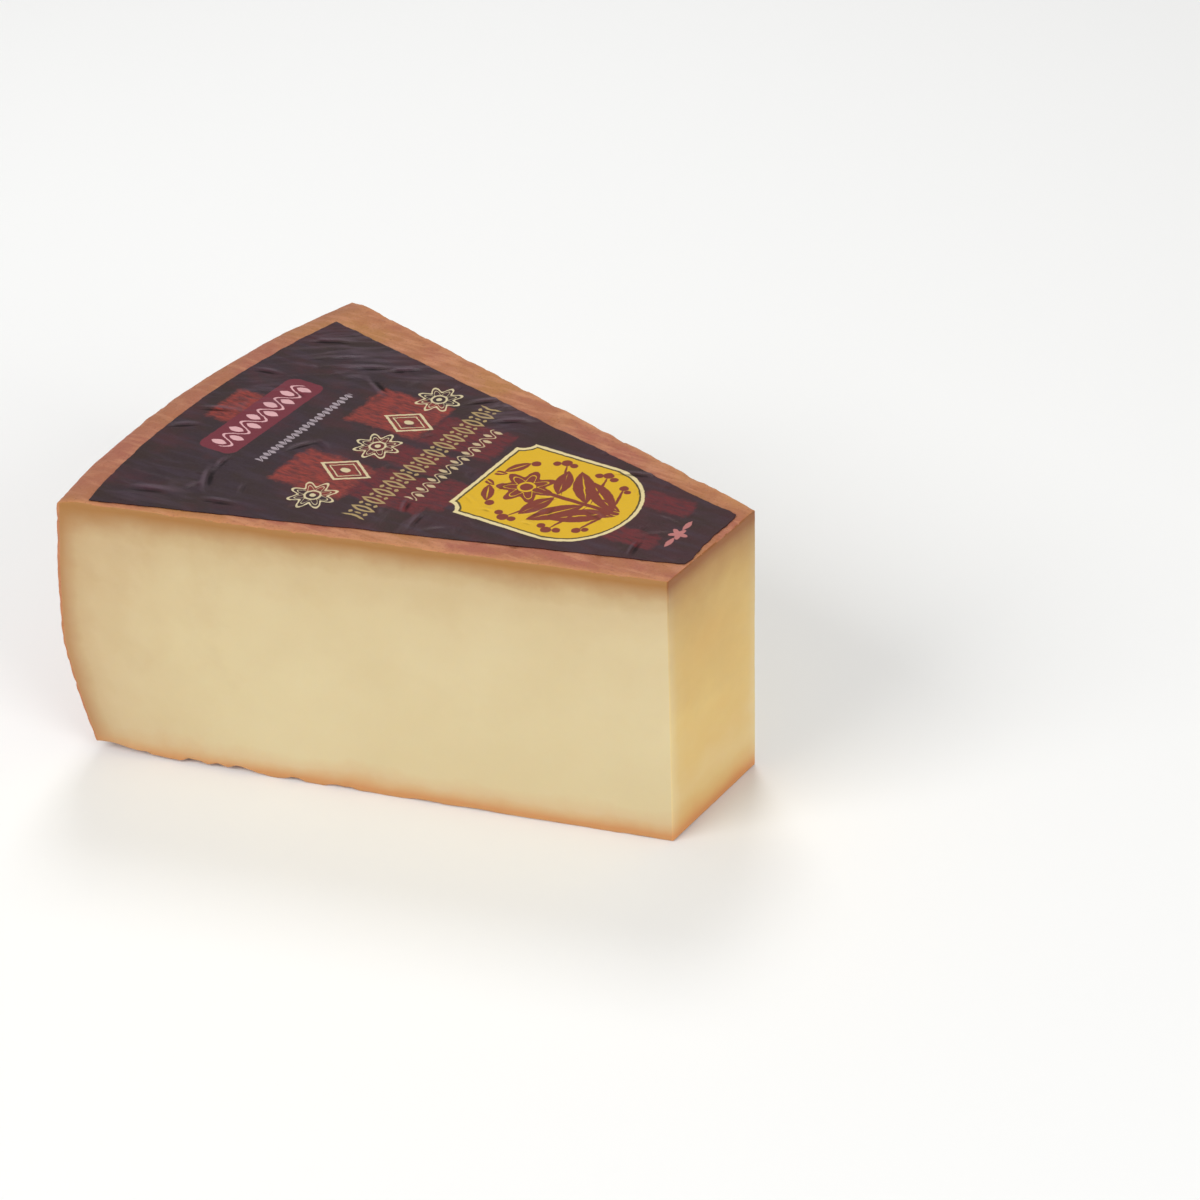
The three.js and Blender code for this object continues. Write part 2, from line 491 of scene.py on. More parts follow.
def wheel_depths(tree):
    """The point in mm, and its depth in mm from the top, base, rim and nearer long cut by name."""
    at = add_node(tree, "TexCoord").outputs["Object"]
    place = add_node(tree, "VectorMath", {0: at, "Scale": 1 / MM}, operation="SCALE")
    height = add_node(tree, "SeparateXYZ", {0: place}).outputs["Z"]
    from_axis = add_node(tree, "VectorMath", {0: place, 1: (AXIS_X, 0, 0)}, operation="SUBTRACT")
    flat = add_node(tree, "VectorMath", {0: from_axis, 1: (1, 1, 0)}, operation="MULTIPLY")
    radius = add_node(tree, "VectorMath", {0: flat}, operation="LENGTH").outputs["Value"]
    above_belly = add_node(tree, "MapRange", {
        "Value": height, "From Min": BELLY_HEIGHT, "From Max": HEIGHT - TOP_EDGE_DROP})
    under_belly = add_node(tree, "MapRange", {
        "Value": height, "From Min": BELLY_HEIGHT, "From Max": BASE_EDGE_RISE})
    off_belly = add_node(tree, "Math", {0: above_belly, 1: under_belly}, operation="ADD")
    left = add_node(tree, "Math", {0: 1, 1: off_belly}, operation="SUBTRACT")
    bow = add_node(tree, "Math", {
        0: off_belly, 1: 2 * RIM_ROUNDNESS - 1, 2: 1}, operation="MULTIPLY_ADD")
    bulge = add_node(tree, "Math", {0: left, 1: bow}, operation="MULTIPLY")
    rim = add_node(tree, "Math", {0: bulge, 1: RIM_BULGE, 2: EDGE_RADIUS}, operation="MULTIPLY_ADD")
    inward = add_node(tree, "Math", {0: rim, 1: radius}, operation="SUBTRACT")
    below = add_node(tree, "Math", {0: HEIGHT, 1: height}, operation="SUBTRACT")
    folded = add_node(tree, "VectorMath", {0: flat}, operation="ABSOLUTE")
    off_cut = add_node(tree, "VectorMath", {
        0: folded, 1: (math.sin(HALF_TURN), -math.cos(HALF_TURN), 0)}, operation="DOT_PRODUCT")
    depths = {"top": below, "base": height, "rim": inward, "cut": off_cut.outputs["Value"]}
    return place, depths


def lay_coats(tree, colour, coats):
    """Lays coats over a colour in turn, each a mask or share from 0 to 1 and its hex colour."""
    for share, shade in coats:
        coat = add_node(tree, "Mix", {0: share, 6: colour, 7: linear(shade)}, data_type="RGBA")
        colour = coat.outputs[2]
    return colour


def stain(tree, colour, depth, shade, fall):
    """Lays a stain over a colour. Its fall is its strength at depths in mm, from the skin inward."""
    reach = fall[-1][0]
    share = add_node(tree, "MapRange", {"Value": depth, "From Min": 0, "From Max": reach})
    tint = add_node(tree, "ValToRGB", {"Fac": share})
    stops = tint.color_ramp.elements
    while len(stops) < len(fall):
        stops.new(0.5)
    for stop, (at, strength) in zip(stops, fall):
        stop.position = at / reach
        stop.color = linear(shade, strength)
    return lay_coats(tree, colour, [(tint.outputs["Alpha"], shade)])


def cut_curd(name, paste, cloudy, stains):
    """Pressed curd cut with a wire: close, waxy and faintly translucent, browned under its rind."""
    material, tree, shader = start_finish(name)
    place, depths = wheel_depths(tree)
    cloud = add_node(tree, "TexNoise", {"Vector": place, "Scale": 1 / CURD_CLOUDS, "Detail": 3})
    patch = add_node(tree, "MapRange", {"Value": cloud, "From Min": 0.35, "From Max": 0.65})
    colour = lay_coats(tree, linear(paste), [(patch, cloudy)])
    ripple = add_node(tree, "TexNoise", {
        "Vector": place, "Scale": 1 / BROWNING_WAVES, "Detail": 4, "Roughness": 0.55})
    spread = add_node(tree, "MapRange", {
        "Value": ripple, "From Min": 0.3, "From Max": 0.7, "To Min": 1.22, "To Max": 0.8})
    for side, shade, fall in stains:
        wavering = add_node(tree, "Math", {0: depths[side], 1: spread}, operation="MULTIPLY")
        colour = stain(tree, colour, wavering, shade, fall)
    fine = add_node(tree, "TexNoise", {"Vector": place, "Scale": 1 / CURD_GRAIN, "Detail": 4})
    fill_inputs(tree, shader, {
        "Base Color": colour,
        "Roughness": 0.45,
        "Specular IOR Level": 0.35,
        "Subsurface Weight": 0.2,
        "Subsurface Radius": (1.0, 0.6, 0.3),
        "Subsurface Scale": 3 * MM,
        "Normal": add_node(tree, "Bump", {"Strength": 0.25, "Distance": 0.08 * MM, "Height": fine}),
    })
    return material


def paste_finish():
    """The long cuts are fresh: pale straw, darkest in a line just under the top rind."""
    return cut_curd("pressed curd, fresh cut", "#d4c399", "#d1bf94", (
        ("rim", "#ab7e4f", RIM_BROWNING),
        ("top", "#a06f38", TOP_BROWNING),
        ("base", "#c68c56", BASE_BROWNING),
    ))


def end_finish():
    """The sliced end has stood open longer and dried to butter yellow, its deeper yellow partly
    painted warm bounce light. It is paler low down and darker from the top, with a painted highlight
    at its edges."""
    return cut_curd("pressed curd, dried, with painted light", "#d9b972", "#d6b067", (
        ("base", "#dfcb9c", PALE_FOOT),
        # painted highlight along the end's edges with the long cuts
        ("cut", "#e0d0a0", PAINTED_ARRIS_HIGHLIGHT),
        ("rim", "#ab7e4f", RIM_BROWNING),
        # darker from the top
        ("top", "#8c5423", END_TOP_DARKENING),
        ("base", "#d28f54", BASE_BROWNING),
    ))


def rind_finish():
    """Washed and rubbed rind: tan to pinkish brown, matt, with a mealy bloom in its hollows."""
    material, tree, shader = start_finish("washed rind, rubbed")
    place, depths = wheel_depths(tree)
    broad = add_node(tree, "TexNoise", {"Vector": place, "Scale": 1 / RIND_PATCHES, "Detail": 3})
    tan = add_node(tree, "MapRange", {"Value": broad, "From Min": 0.4, "From Max": 0.62})
    blotch = add_node(tree, "TexNoise", {
        "Vector": place, "Scale": 1 / RIND_BLOTCHES, "Detail": 5, "Roughness": 0.6})
    bloom = add_node(tree, "MapRange", {
        "Value": blotch, "From Min": 0.5, "From Max": 0.72, "To Max": 0.6})
    along = add_node(tree, "Mapping", {
        "Vector": place, "Scale": (1 / RUB_LENGTH, 1 / RUB_WIDTH, 1 / RUB_WIDTH)})
    rubbed = add_node(tree, "TexNoise", {"Vector": along, "Scale": 1, "Detail": 3})
    streak = add_node(tree, "MapRange", {
        "Value": rubbed, "From Min": 0.5, "From Max": 0.7, "To Max": 0.6})
    shoulder = add_node(tree, "MapRange", {
        "Value": depths["rim"], "From Min": 14, "From Max": 6, "To Max": 0.35})
    # The rind is lighter along the cut edges: partly torn rind, partly a painted highlight on the cut
    # lip.
    uneven = add_node(tree, "MapRange", {
        "Value": blotch, "From Min": 0.35, "From Max": 0.65, "To Min": 2, "To Max": 0.7})
    from_cut = add_node(tree, "Math", {0: depths["cut"], 1: uneven}, operation="MULTIPLY")
    torn_and_painted_highlight = add_node(tree, "MapRange", {
        "Value": from_cut, "From Min": 4.5, "From Max": 0.8, "To Max": 0.5})
    speck = add_node(tree, "TexNoise", {"Vector": place, "Scale": 1 / RIND_SPECKS, "Detail": 3})
    dirt = add_node(tree, "MapRange", {
        "Value": speck, "From Min": 0.55, "From Max": 0.75, "To Max": 0.45})
    colour = lay_coats(tree, linear("#a5614a"), (
        (tan, "#ab7443"),
        (bloom, "#ba7e60"),
        (streak, "#c98c66"),
        (shoulder, "#965f4b"),
        # torn rind and a painted highlight along the cut edges
        (torn_and_painted_highlight, "#c48858"),
        (dirt, "#7c4a32"),
    ))
    fine = add_node(tree, "TexNoise", {"Vector": place, "Scale": 1 / RIND_FINE_GRAIN, "Detail": 6})
    fill_inputs(tree, shader, {
        "Base Color": colour,
        "Roughness": 0.62,
        "Specular IOR Level": 0.3,
        "Subsurface Weight": 0.08,
        "Subsurface Radius": (1.0, 0.5, 0.25),
        "Subsurface Scale": 2 * MM,
        "Normal": add_node(tree, "Bump", {"Strength": 0.6, "Distance": 0.25 * MM, "Height": fine}),
    })
    return material


# ---------------------------------------------------------------- label: paper

def cut_line(side, heel_margin, end_margin, end_setback):
    """The two ends of a long edge of the label, from its margins to the cuts (mm)."""
    along = np.array([-math.cos(HALF_TURN), side * math.sin(HALF_TURN)])
    inward = np.array([-math.sin(HALF_TURN), -side * math.cos(HALF_TURN)])
    heel = math.sqrt(LABEL_RADIUS**2 - heel_margin**2) * along + heel_margin * inward
    across = HALF_TURN - side * END_SKEW
    reach = END_DISTANCE * math.cos(END_SKEW) + end_setback - end_margin * math.sin(across)
    end = reach / math.cos(across) * along + end_margin * inward
    return heel, end


def lay_out_label(sheet):
    """Draws the flat sheet's net to the label's outline: an arc at the heel, straight elsewhere."""
    (front_heel, front_end), (back_heel, back_end) = (cut_line(*edge) for edge in LABEL_EDGES)
    points = read_points(sheet.data) / MM
    low, high = points.min(0), points.max(0)
    long = ((points[:, 0] - low[0]) / (high[0] - low[0]))[:, None]
    wide = ((points[:, 1] - low[1]) / (high[1] - low[1]))[:, None]
    first, last = (math.atan2(p[1], -p[0]) for p in (front_heel, back_heel))
    turn = first + wide[:, 0] * (last - first)
    arc = LABEL_RADIUS * np.stack([-np.cos(turn), np.sin(turn)], -1)
    end = front_end + wide * (back_end - front_end)
    points[:, :2] = arc + long * (end - arc) + (AXIS_X, 0)
    write_points(sheet.data, points * MM)


def wrinkle(points, place, angle, length, width, rise):
    """A short crease: a ridge with a dent pressed beside it."""
    offset = points[:, :2] - place
    cosine, sine = math.cos(angle), math.sin(angle)
    along = (offset[:, 0] * cosine + offset[:, 1] * sine) / length
    across = (offset[:, 1] * cosine - offset[:, 0] * sine) / width
    across = across + 0.35 * along**2
    ridge = np.exp(-((across - 0.8) ** 2)) - 0.8 * np.exp(-((across + 0.8) ** 2))
    return rise * np.exp(-(along**2)) * ridge


def gathers(points, angle):
    """Fine gathers, 0 to 1, that run at an angle and fade in and out."""
    cosine, sine = math.cos(angle), math.sin(angle)
    x, y = points[:, 0], points[:, 1]
    laid = np.stack([(x * cosine + y * sine) * 0.16, y * cosine - x * sine, 0 * x], -1)
    folds = 1 - 2 * np.abs(roughness_field(laid, GATHER_PITCH, 2, 15))
    return np.clip(folds, 0, 1) ** 2


def crease_label(points):
    """Height of the paper's gathers and creases (mm), below 0 where it is pressed into a dent."""
    height = np.zeros(len(points))
    for place, spread, angle, rise in GATHERS:
        offset = (points[:, :2] - place - (AXIS_X, 0)) / spread
        near = np.exp(-((offset**2).sum(-1)))
        height += rise * near * gathers(points, math.radians(angle))
    for place, angle, length, width, rise in CREASES:
        height += wrinkle(points, np.add(place, (AXIS_X, 0)), math.radians(angle), length, width, rise)
    for _ in range(SMALL_CREASES):
        place = (AXIS_X - rng.uniform(100, 280), rng.uniform(-65, 55))
        angle, length = rng.uniform(-0.6, 2.2), rng.uniform(1.5, 4.5)
        height += wrinkle(points, place, angle, length, rng.uniform(0.7, 1.2), rng.uniform(0.06, 0.2))
    return height


def crumple(label):
    """Wanders the sheet's cut edges and gives it its folds and the rind's lumps from underneath."""
    points = read_points(label.data) / MM
    ragged = np.stack([roughness_field(points, 7, 3, seed) for seed in (11, 12)], -1)
    radius, _ = wheel_place(points)
    points[:, :2] += (RAGGED_EDGE + RAGGED_END * ramp(radius, 102, 94))[:, None] * ragged
    folds = crease_label(points)
    # The fold heights also go to the finish, which paints a highlight on the ridges and shade in the
    # dents.
    label.data.attributes.new("fold", "FLOAT", "POINT").data.foreach_set("value", folds)
    rind = 0.07 * roughness_field(points, 22, 3, 8) + 0.05 * roughness_field(points, 4, 2, 9)
    highest = LABEL_HIGH.z - HEIGHT - PAPER - 0.01
    points[:, 2] += np.clip(rind + folds, 0.06 - PAPER, highest)
    write_points(label.data, points * MM)


def close_underside(label):
    """Folds the sheet's edge down to the rind and closes it underneath with one flat face."""
    bpy.ops.object.mode_set(mode="EDIT")
    bpy.ops.mesh.select_all(action="SELECT")
    bpy.ops.mesh.region_to_loop()
    bpy.ops.mesh.extrude_region_move(TRANSFORM_OT_translate={"value": (0, 0, -PAPER * MM)})
    bpy.ops.mesh.edge_face_add()
    bpy.ops.object.mode_set(mode="OBJECT")
    for vertex in label.data.vertices:
        if vertex.select:
            vertex.co.z = HEIGHT * MM
    bpy.ops.object.mode_set(mode="EDIT")
    bpy.ops.mesh.select_all(action="SELECT")
    bpy.ops.mesh.normals_make_consistent(inside=False)
    bpy.ops.object.mode_set(mode="OBJECT")


def make_label():
    bpy.ops.object.select_all(action="DESELECT")
    middle = (LABEL_LOW + LABEL_HIGH) / 2 * MM
    bpy.ops.mesh.primitive_grid_add(
        x_subdivisions=LABEL_CELLS_LONG, y_subdivisions=LABEL_CELLS_WIDE, size=1,
        location=(middle.x, middle.y, (HEIGHT + PAPER) * MM),
    )
    label = bpy.context.object
    label.name = "printed_label"
    label.scale = (*(LABEL_HIGH - LABEL_LOW).xy * MM, 1)
    bpy.ops.object.transform_apply(location=True, rotation=True, scale=True)
    lay_out_label(label)
    crumple(label)
    close_underside(label)
    label.data.materials.append(label_finish())
    bpy.ops.object.shade_smooth_by_angle(angle=SMOOTH_ANGLE)
    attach(label, "root")
    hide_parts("label")


# ---------------------------------------------------------------- label: print
# Print places are in mm, x from the wheel's axis out to the tip (so negative towards the heel).

def plate(tree, at, centre, half, corner):
    """Distance (mm) from the edge of an upright rectangle with rounded corners, negative inside."""
    moved = add_node(tree, "VectorMath", {0: at, 1: (*centre, 0)}, operation="SUBTRACT")
    folded = add_node(tree, "VectorMath", {0: moved}, operation="ABSOLUTE")
    core = (half[0] - corner, half[1] - corner, 1e3)
    past = add_node(tree, "VectorMath", {0: folded, 1: core}, operation="SUBTRACT")
    clipped = add_node(tree, "VectorMath", {0: past, 1: (0, 0, 0)}, operation="MAXIMUM")
    length = add_node(tree, "VectorMath", {0: clipped}, operation="LENGTH").outputs["Value"]
    return add_node(tree, "Math", {0: length, 1: corner}, operation="SUBTRACT").outputs[0]


def leaf(tree, at, centre, angle, length, width):
    """Mask of a pointed leaf whose long axis lies at an angle (degrees) to x."""
    laid = add_node(tree, "Mapping", {
        "Vector": at, "Location": (*centre, 0), "Rotation": (0, 0, math.radians(angle)),
        "Scale": (length / 2, width / 2, 1),
    }, vector_type="TEXTURE")
    parts = add_node(tree, "SeparateXYZ", {0: laid})
    bow = add_node(tree, "Math", {0: parts.outputs["X"], 1: parts.outputs["X"]}, operation="MULTIPLY")
    side = add_node(tree, "Math", {0: parts.outputs["Y"]}, operation="ABSOLUTE")
    reach = add_node(tree, "Math", {0: bow, 1: side}, operation="ADD")
    soft = 2 * INK_SPREAD / width
    return add_node(tree, "MapRange", {
        "Value": reach, "From Min": 1 + soft, "From Max": 1 - soft}).outputs[0]


def flower(tree, at, centre, petals, radius, notch):
    """Distance (mm) from the edge of a flower, and the distance from its middle."""
    moved = add_node(tree, "VectorMath", {0: at, 1: (*centre, 0)}, operation="SUBTRACT")
    flat = add_node(tree, "VectorMath", {0: moved, 1: (1, 1, 0)}, operation="MULTIPLY")
    parts = add_node(tree, "SeparateXYZ", {0: flat})
    turn = add_node(tree, "Math", {0: parts.outputs["Y"], 1: parts.outputs["X"]}, operation="ARCTAN2")
    beat = add_node(tree, "Math", {0: turn, 1: petals}, operation="MULTIPLY")
    wave = add_node(tree, "Math", {0: beat}, operation="COSINE")
    edge = add_node(tree, "Math", {0: wave, 1: notch, 2: radius}, operation="MULTIPLY_ADD")
    length = add_node(tree, "VectorMath", {0: flat}, operation="LENGTH").outputs["Value"]
    return add_node(tree, "Math", {0: length, 1: edge}, operation="SUBTRACT").outputs[0], length


def filled(tree, distance, reach=0.0):
    """Mask of what lies inside a reach of a distance, with the small spread of ink into paper."""
    return add_node(tree, "MapRange", {
        "Value": distance, "From Min": reach + INK_SPREAD, "From Max": reach - INK_SPREAD}).outputs[0]


def drawn(tree, distance, width, reach=0.0):
    """Mask of a line of a width drawn where the distance equals the reach."""
    off = add_node(tree, "Math", {0: distance, 1: reach}, operation="SUBTRACT")
    size = add_node(tree, "Math", {0: off}, operation="ABSOLUTE")
    return filled(tree, size, width / 2)


def union(tree, *masks):
    """Mask of what lies in any of the masks."""
    whole = masks[0]
    for mask in masks[1:]:
        whole = add_node(tree, "Math", {0: whole, 1: mask}, operation="MAXIMUM")
    return whole


def cropped(tree, mask, distance, reach=0.0):
    """The part of a mask that lies inside a reach of a distance."""
    inside = filled(tree, distance, reach)
    return add_node(tree, "Math", {0: mask, 1: inside}, operation="MINIMUM")


def without(tree, mask, hole):
    """A mask with another cut out of it."""
    kept = add_node(tree, "Math", {0: 1, 1: hole}, operation="SUBTRACT")
    return add_node(tree, "Math", {0: mask, 1: kept}, operation="MINIMUM")


def repeated(tree, at, start, pitch):
    """The print place wrapped along y, so that a pattern comes again at every pitch, centred on 0."""
    parts = add_node(tree, "SeparateXYZ", {0: at})
    wrapped = add_node(tree, "Math", {
        0: parts.outputs["Y"], 1: start + pitch / 2, 2: start - pitch / 2}, operation="WRAP")
    centred = add_node(tree, "Math", {0: wrapped, 1: start}, operation="SUBTRACT")
    return add_node(tree, "CombineXYZ", {"X": parts.outputs["X"], "Y": centred})


def printed_ground(tree, at):
    """Plum at the heel, chestnut at the tip, clouded with brown, maroon and brush strokes."""
    long = add_node(tree, "SeparateXYZ", {0: at}).outputs["X"]
    tipward = add_node(tree, "MapRange", {"Value": long, "From Min": -240, "From Max": -150})
    cloud = add_node(tree, "TexNoise", {
        "Vector": at, "Scale": 1 / GROUND_CLOUDS, "Detail": 5, "Roughness": 0.6})
    brown = add_node(tree, "MapRange", {
        "Value": cloud, "From Min": 0.42, "From Max": 0.62, "To Max": 0.75})
    wide = add_node(tree, "Mapping", {
        "Vector": at, "Location": (40, 15, 0), "Scale": (1 / HAZE_LENGTH, 1 / HAZE_WIDTH, 1)})
    haze = add_node(tree, "TexNoise", {"Vector": wide, "Scale": 1, "Detail": 5, "Roughness": 0.65})
    maroon = add_node(tree, "MapRange", {
        "Value": haze, "From Min": 0.48, "From Max": 0.66, "To Max": 0.55})
    brushed = add_node(tree, "Mapping", {
        "Vector": at, "Rotation": (0, 0, math.radians(-33)),
        "Scale": (1 / BRUSH_LENGTH, 1 / BRUSH_WIDTH, 1)})
    sweep = add_node(tree, "TexNoise", {"Vector": brushed, "Scale": 1, "Detail": 3})
    stroke = add_node(tree, "MapRange", {
        "Value": sweep, "From Min": 0.48, "From Max": 0.72, "To Max": 0.5})
    colour = lay_coats(tree, linear("#29161f"), (
        (tipward, "#37141a"),
        (brown, "#2b170f"),
        (maroon, "#4a1a24"),
        (stroke, "#3b2b3a"),
    ))
    return colour, cloud


def brick_patches(tree, at):
    """The strong and the faint patches of brick red, dabbed on under everything else."""
    bleed = add_node(tree, "TexNoise", {
        "Vector": at, "Scale": 1 / BRICK_BLEED, "Detail": 6, "Roughness": 0.7})
    centred = add_node(tree, "VectorMath", {
        0: bleed.outputs["Color"], 1: (0.5, 0.5, 0.5)}, operation="SUBTRACT")
    push = add_node(tree, "VectorMath", {0: centred, 1: (7, 7, 0)}, operation="MULTIPLY")
    dabbed = add_node(tree, "VectorMath", {0: at, 1: push}, operation="ADD")
    combed = add_node(tree, "Mapping", {
        "Vector": at, "Scale": (1 / BRISTLE_LENGTH, 1 / BRISTLE_WIDTH, 1)})
    bristle = add_node(tree, "TexNoise", {
        "Vector": combed, "Scale": 1, "Detail": 4, "Roughness": 0.7})
    thin = add_node(tree, "MapRange", {
        "Value": bristle, "From Min": 0.36, "From Max": 0.6, "To Min": 0.25})
    bands = []
    for places in (BRICKS, FAINT_BRICKS):
        dabs = []
        for x, y, half_x, half_y in places:
            edge = plate(tree, dabbed, (x, y), (half_x, half_y), corner=1.5)
            dabs.append(add_node(tree, "MapRange", {
                "Value": edge, "From Min": 0.9, "From Max": -0.9}))
        bands.append(add_node(tree, "Math", {0: union(tree, *dabs), 1: thin}, operation="MULTIPLY"))
    return bands


def big_row(tree, at):
    """Five open ornaments in cream: flowers and lozenges turn about."""
    lined = repeated(tree, at, BIG_ROW_Y, 2 * BIG_ROW_PITCH)
    petals, middle = flower(tree, lined, (BIG_ROW_X, 0), petals=8, radius=6.4, notch=1.5)
    flowers = union(
        tree, drawn(tree, petals, BOLD_LINE), drawn(tree, petals, HAIR_LINE, -2),
        drawn(tree, middle, 0.7, 2.6), filled(tree, middle, 1.0),
    )
    shifted = repeated(tree, at, BIG_ROW_Y + BIG_ROW_PITCH, 2 * BIG_ROW_PITCH)
    moved = add_node(tree, "VectorMath", {0: shifted, 1: (BIG_ROW_X, 0, 0)}, operation="SUBTRACT")
    squeezed = add_node(tree, "VectorMath", {0: moved, 1: (0.62, 0.9, 0)}, operation="MULTIPLY")
    folded = add_node(tree, "VectorMath", {0: squeezed}, operation="ABSOLUTE")
    across = add_node(tree, "VectorMath", {0: folded, 1: (1, 1, 0)}, operation="DOT_PRODUCT")
    slant = across.outputs["Value"]
    near = add_node(tree, "VectorMath", {0: folded}, operation="LENGTH").outputs["Value"]
    lozenges = union(
        tree, drawn(tree, slant, BOLD_LINE, 5.8), drawn(tree, slant, HAIR_LINE, 3.9),
        filled(tree, near, 1.1),
    )
    row = plate(tree, at, (BIG_ROW_X, BIG_ROW_MIDDLE), (12, 2.5 * BIG_ROW_PITCH), corner=0.1)
    return cropped(tree, union(tree, flowers, lozenges), row)


def braid_row(tree, at):
    """A narrow border of tall open leaves with three small dots between each two."""
    x, y, half_x, half_y = BRAID
    lined = repeated(tree, at, y, BRAID_PITCH)
    tall = leaf(tree, lined, (x, 0), angle=0, length=9.4, width=3.0)
    hollow = leaf(tree, lined, (x, 0), angle=0, length=6.4, width=1.3)
    between = repeated(tree, at, y + BRAID_PITCH / 2, BRAID_PITCH)
    dots = [leaf(tree, between, (x, 0), angle=0, length=2.6, width=0.9)]
    for side in (-2.8, 2.8):
        dots.append(leaf(tree, between, (x + side, 0), angle=90, length=1.7, width=1.5))
    row = plate(tree, at, (x, y), (half_x, half_y), corner=0.5)
    return cropped(tree, union(tree, without(tree, tall, hollow), *dots), row)


def vine_row(tree, at, place, swing, pitch, width, bud):
    """A waving stem with a leaf bud, given by its length and width, in each bend."""
    x, y, half_y = place
    parts = add_node(tree, "SeparateXYZ", {0: at})
    beat = add_node(tree, "Math", {
        0: parts.outputs["Y"], 1: 2 * math.pi / pitch}, operation="MULTIPLY")
    wave = add_node(tree, "Math", {0: beat}, operation="SINE")
    bend = add_node(tree, "Math", {
        0: wave, 1: -swing, 2: parts.outputs["X"]}, operation="MULTIPLY_ADD")
    sprays = [drawn(tree, bend, width, x)]
    for side in (1, -1):
        lined = repeated(tree, at, side * pitch / 4, pitch)
        sprays.append(leaf(tree, lined, (x - side * swing * 0.55, 0), 0, *bud))
    row = plate(tree, at, (x, y), (7, half_y), corner=0.1)
    return cropped(tree, union(tree, *sprays), row)


def badge_edge(tree, at):
    """Distance (mm) from the edge of the yellow badge: square towards the heel, round at the tip."""
    x, y, half_x, half_y = BADGE
    waist = x + half_x - BADGE_ROUND
    moved = add_node(tree, "VectorMath", {0: at, 1: (waist, y, 0)}, operation="SUBTRACT")
    parts = add_node(tree, "SeparateXYZ", {0: moved})
    ahead = add_node(tree, "Math", {0: parts.outputs["X"], 1: 0}, operation="MAXIMUM")
    squeezed = add_node(tree, "Math", {0: ahead, 1: half_y / BADGE_ROUND}, operation="MULTIPLY")
    bent = add_node(tree, "CombineXYZ", {"X": squeezed, "Y": parts.outputs["Y"]})
    length = add_node(tree, "VectorMath", {0: bent}, operation="LENGTH").outputs["Value"]
    round_edge = add_node(tree, "Math", {0: length, 1: half_y}, operation="SUBTRACT")
    flat_edge = add_node(tree, "Math", {
        0: x - half_x - waist, 1: parts.outputs["X"]}, operation="SUBTRACT")
    edge = add_node(tree, "Math", {0: round_edge, 1: flat_edge}, operation="MAXIMUM")
    folded = add_node(tree, "VectorMath", {0: moved}, operation="ABSOLUTE")
    corner = add_node(tree, "VectorMath", {
        0: folded, 1: (waist - x + half_x, half_y, 0)}, operation="DISTANCE").outputs["Value"]
    bite = add_node(tree, "Math", {0: BADGE_BITE, 1: corner}, operation="SUBTRACT")
    return add_node(tree, "Math", {0: edge, 1: bite}, operation="MAXIMUM").outputs[0]


def alpine_sprig(tree, at):
    """The badge's emblem: one open flower over pairs of leaves, buds and berries."""
    x, y = BADGE[:2]
    moved = add_node(tree, "VectorMath", {0: at, 1: (x, y, 0)}, operation="SUBTRACT")
    parts = add_node(tree, "SeparateXYZ", {0: moved})
    side = add_node(tree, "Math", {0: parts.outputs["Y"]}, operation="ABSOLUTE")
    folded = add_node(tree, "CombineXYZ", {"X": parts.outputs["X"], "Y": side})
    pieces = [filled(tree, plate(tree, folded, (7, 0), (16, 0.9), corner=0.8))]
    for place, angle, length, width in SPRIG_LEAVES:
        blade = leaf(tree, folded, place, angle, length, width)
        rib = leaf(tree, folded, place, angle, length * 0.7, 0.5)
        pieces.append(without(tree, blade, rib))
    for place, angle, length in SPRIG_TWIGS:
        pieces.append(leaf(tree, folded, place, angle, length, 1.1))
    for place, radius in SPRIG_BERRIES:
        pieces.append(filled(tree, plate(tree, folded, place, (radius, radius), radius)))
    petals, middle = flower(tree, folded, (-11.5, 0), petals=7, radius=8, notch=1.9)
    bloom = without(tree, filled(tree, petals), drawn(tree, petals, 0.5, -2.6))
    pieces.append(without(tree, bloom, drawn(tree, middle, 0.9, 2.6)))
    return union(tree, *pieces)


def tip_bud(tree, at):
    """A small five-petalled flower near the tip, with a leaf to each side."""
    x, y = TIP_BUD
    petals, _ = flower(tree, at, (x, y), petals=5, radius=2.4, notch=0.8)
    leaves = [leaf(tree, at, (x, y + side), angle=90, length=6, width=1.8) for side in (-5.5, 5.5)]
    return union(tree, filled(tree, petals), *leaves)


def print_label(tree, at):
    """All the label's inks, one over the other. Gives the colour, and the clouds of its ground."""
    x, y, half_x, half_y = BANNER
    banner = plate(tree, at, (x, y), (half_x, half_y), corner=3.5)
    swash = vine_row(
        tree, at, (x, y, half_y - 3), swing=3.4, pitch=9.2, width=1.1, bud=(6.2, 2.8))
    small_vine = vine_row(tree, at, SMALL_VINE, swing=1.1, pitch=4.2, width=0.55, bud=(2.8, 1.3))
    fine_vine = vine_row(tree, at, FINE_VINE, swing=1.9, pitch=6.4, width=0.55, bud=(3.6, 1.5))
    badge = badge_edge(tree, at)
    ground, cloud = printed_ground(tree, at)
    strong, faint = brick_patches(tree, at)
    colour = lay_coats(tree, ground, (
        (faint, "#67191e"),
        (strong, "#8e3328"),
        (filled(tree, banner), "#6d2230"),
        (swash, "#dfaeb0"),
        (small_vine, "#a89aa0"),
        (big_row(tree, at), "#d6c79d"),
        (braid_row(tree, at), "#a9905f"),
        (fine_vine, "#c9b48c"),
        (filled(tree, badge), "#dfcd97"),
        (filled(tree, badge, -1.3), "#4d4014"),
        (filled(tree, badge, -2.0), "#d8ac0c"),
        (cropped(tree, alpine_sprig(tree, at), badge, -3.0), "#7c2f1c"),
        (tip_bud(tree, at), "#b5706c"),
    ))
    return colour, cloud


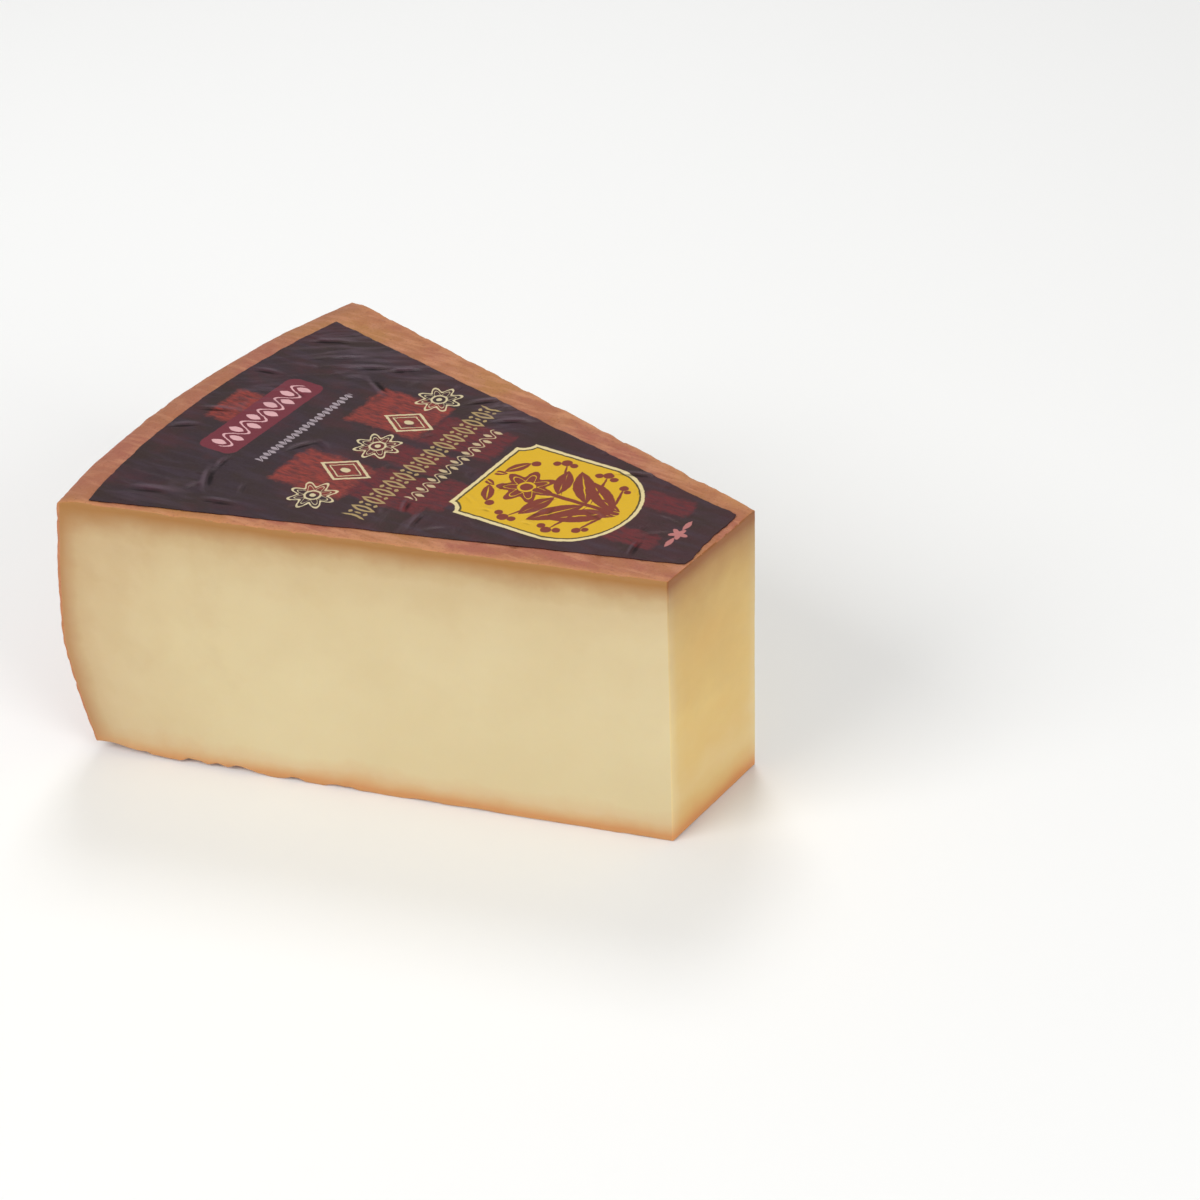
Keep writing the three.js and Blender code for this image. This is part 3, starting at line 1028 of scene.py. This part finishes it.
def label_finish():
    """Offset-printed paper under a soft varnish, glued damp: dark inks, satin sheen, faint fibre."""
    material, tree, shader = start_finish("printed paper, varnished")
    at = add_node(tree, "TexCoord").outputs["Object"]
    place = add_node(tree, "VectorMath", {0: at, "Scale": 1 / MM}, operation="SCALE")
    from_axis = add_node(tree, "VectorMath", {0: place, 1: (AXIS_X, 0, 0)}, operation="SUBTRACT")
    flat = add_node(tree, "VectorMath", {0: from_axis, 1: (1, 1, 0)}, operation="MULTIPLY")
    waver = add_node(tree, "TexNoise", {"Vector": flat, "Scale": 1 / PRINT_WAVER, "Detail": 2})
    centred = add_node(tree, "VectorMath", {
        0: waver.outputs["Color"], 1: (0.5, 0.5, 0.5)}, operation="SUBTRACT")
    nudge = add_node(tree, "VectorMath", {0: centred, 1: (0.6, 0.6, 0)}, operation="MULTIPLY")
    printed = add_node(tree, "VectorMath", {0: flat, 1: nudge}, operation="ADD")
    colour, cloud = print_label(tree, printed)

    rub = add_node(tree, "TexNoise", {
        "Vector": printed, "Scale": RUBS_PER_MM, "Detail": 4, "Roughness": 0.7})
    worn = add_node(tree, "MapRange", {
        "Value": rub, "From Min": 0.3, "From Max": 0.75, "To Max": 0.1})
    # Painted light from the fold heights: a painted highlight on the ridges, and painted shade in the
    # dents, which are also rougher.
    fold = add_node(tree, "Attribute", attribute_name="fold").outputs["Fac"]
    ridge = add_node(tree, "MapRange", {
        "Value": fold, "From Min": 0.06, "From Max": 0.35, "To Max": 0.4})
    dent = add_node(tree, "MapRange", {
        "Value": fold, "From Min": -0.04, "From Max": -0.24, "To Max": 0.8})
    colour = lay_coats(tree, colour, (
        (worn, "#6a5652"),
        # painted highlight on the ridges, then painted shade in the dents
        (ridge, "#6a5560"),
        (dent, "#0f0709"),
    ))
    sheen = add_node(tree, "MapRange", {
        "Value": cloud, "From Min": 0.3, "From Max": 0.7, "To Min": 0.38, "To Max": 0.48})
    fibre = add_node(tree, "TexNoise", {
        "Vector": printed, "Scale": FIBRES_PER_MM, "Detail": 5, "Roughness": 0.6})
    fill_inputs(tree, shader, {
        "Base Color": colour,
        "Roughness": add_node(tree, "Math", {0: dent, 1: 0.4, 2: sheen}, operation="MULTIPLY_ADD"),
        "Specular IOR Level": 0.18,
        "Normal": add_node(tree, "Bump", {"Strength": 0.35, "Distance": 0.12 * MM, "Height": fibre}),
    })
    return material


set_camera()
set_light()
lay_floor()
make_cheese()
make_label()
